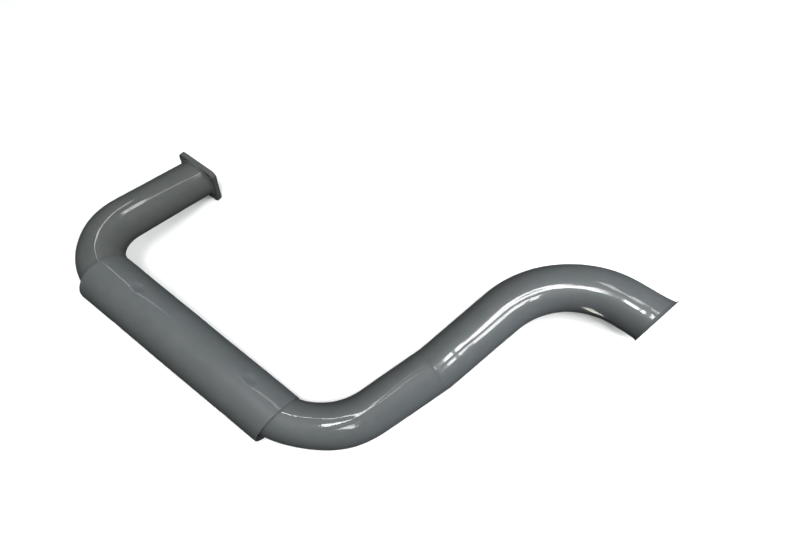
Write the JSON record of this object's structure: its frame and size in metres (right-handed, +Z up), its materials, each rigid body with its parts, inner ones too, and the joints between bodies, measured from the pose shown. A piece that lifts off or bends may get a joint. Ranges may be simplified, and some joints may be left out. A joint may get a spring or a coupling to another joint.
{
  "type": "exhaust pipe",
  "caption": "Bent engine exhaust pipe with a square bolt flange, a spaced heat sleeve and a slanted, flared outlet.",
  "frame": {"origin": "on the floor, under the middle of the pipe's bounding box as it lies", "axes": "+Z up from the floor, +X along the length of the pipe from its elbow to its outlet, +Y towards the inlet flange"},
  "size_m": [0.7684, 0.4382, 0.1532],
  "materials": {
    "grey_paint": "glossy"
  },
  "bodies": {
    "root": {"elbow_pipe": "grey_paint", "middle_pipe": "grey_paint", "tail_pipe": "grey_paint", "inlet_flange": "grey_paint", "heat_sleeve": "grey_paint", "upper_spacer": "grey_paint", "lower_spacer": "grey_paint", "flange_weld": "grey_paint", "elbow_weld": "grey_paint", "joint_weld": "grey_paint"}
  },
  "joints": []
}
